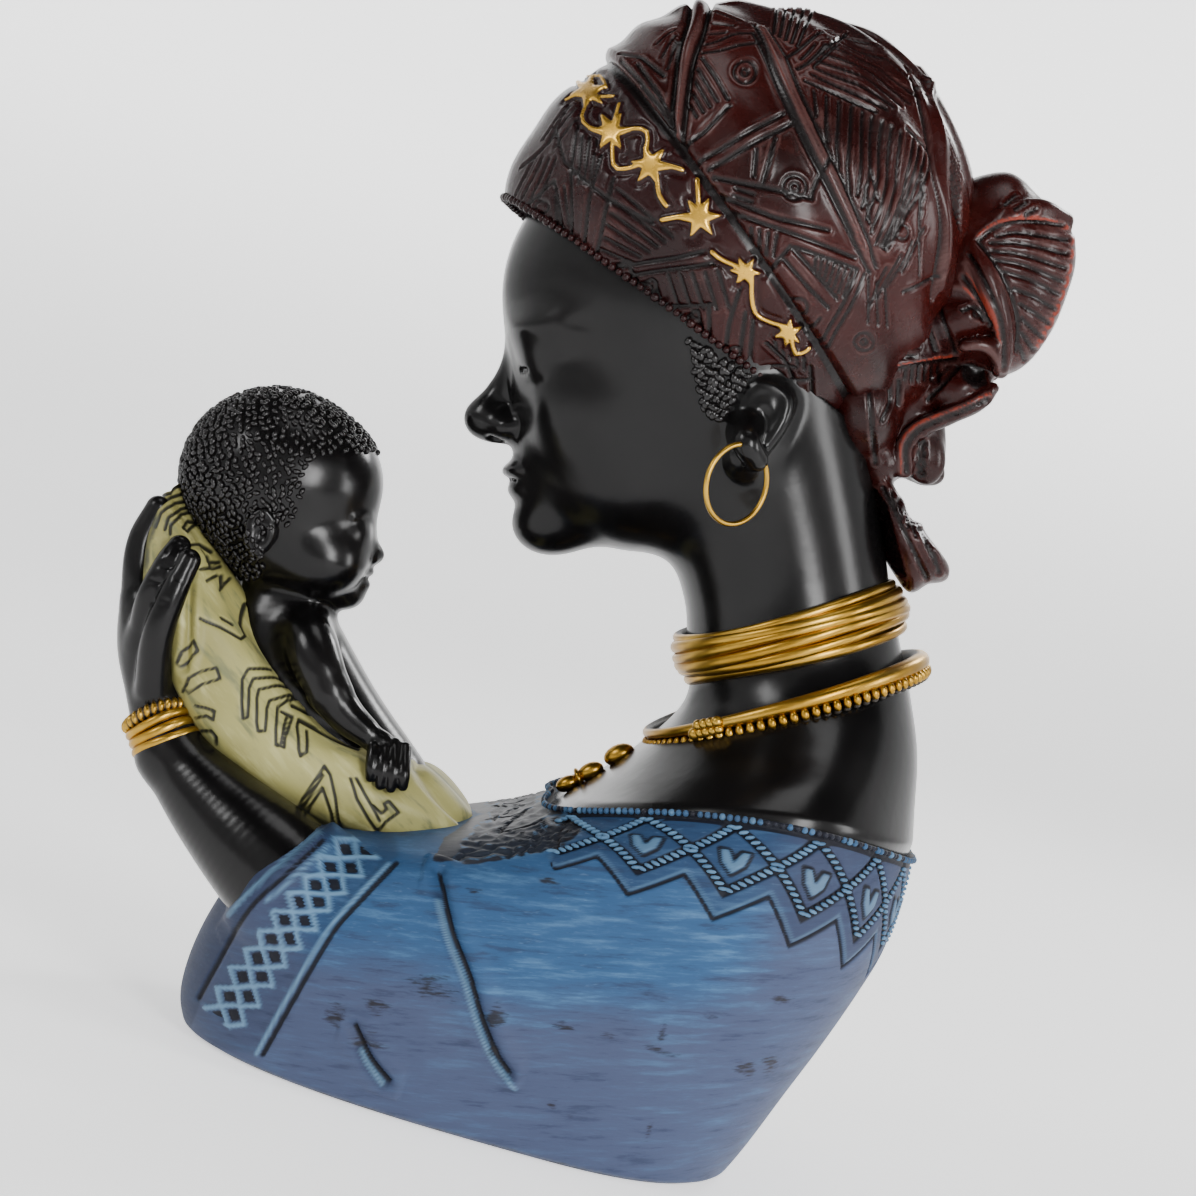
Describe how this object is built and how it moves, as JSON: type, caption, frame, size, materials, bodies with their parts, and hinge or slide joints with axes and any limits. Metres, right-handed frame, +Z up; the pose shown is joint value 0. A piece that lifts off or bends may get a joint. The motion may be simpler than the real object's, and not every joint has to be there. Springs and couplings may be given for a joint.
{
  "type": "maternity figure",
  "caption": "Painted cast bust of a mother in a head wrap, holding a baby in a carved cloth before her chest; stands on its flat underside.",
  "frame": {"origin": "centre of the flat underside that the bust stands on", "axes": "+Z up, -X the way the mother looks, -Y her left side"},
  "size_m": [0.1743, 0.1104, 0.2362],
  "materials": {
    "skin": "glossy black painted resin",
    "head_wrap": "carved, mahogany paint with a black wash",
    "dress": "carved, brushed blue paint with dark wear",
    "baby_cloth": "carved, olive paint with black lines",
    "gilding": "gold paint with dark recesses",
    "hoop_wire": "bright wire"
  },
  "bodies": {
    "root": {"figure": "skin", "earring_left": "hoop_wire", "earring_right": "hoop_wire"}
  },
  "joints": []
}
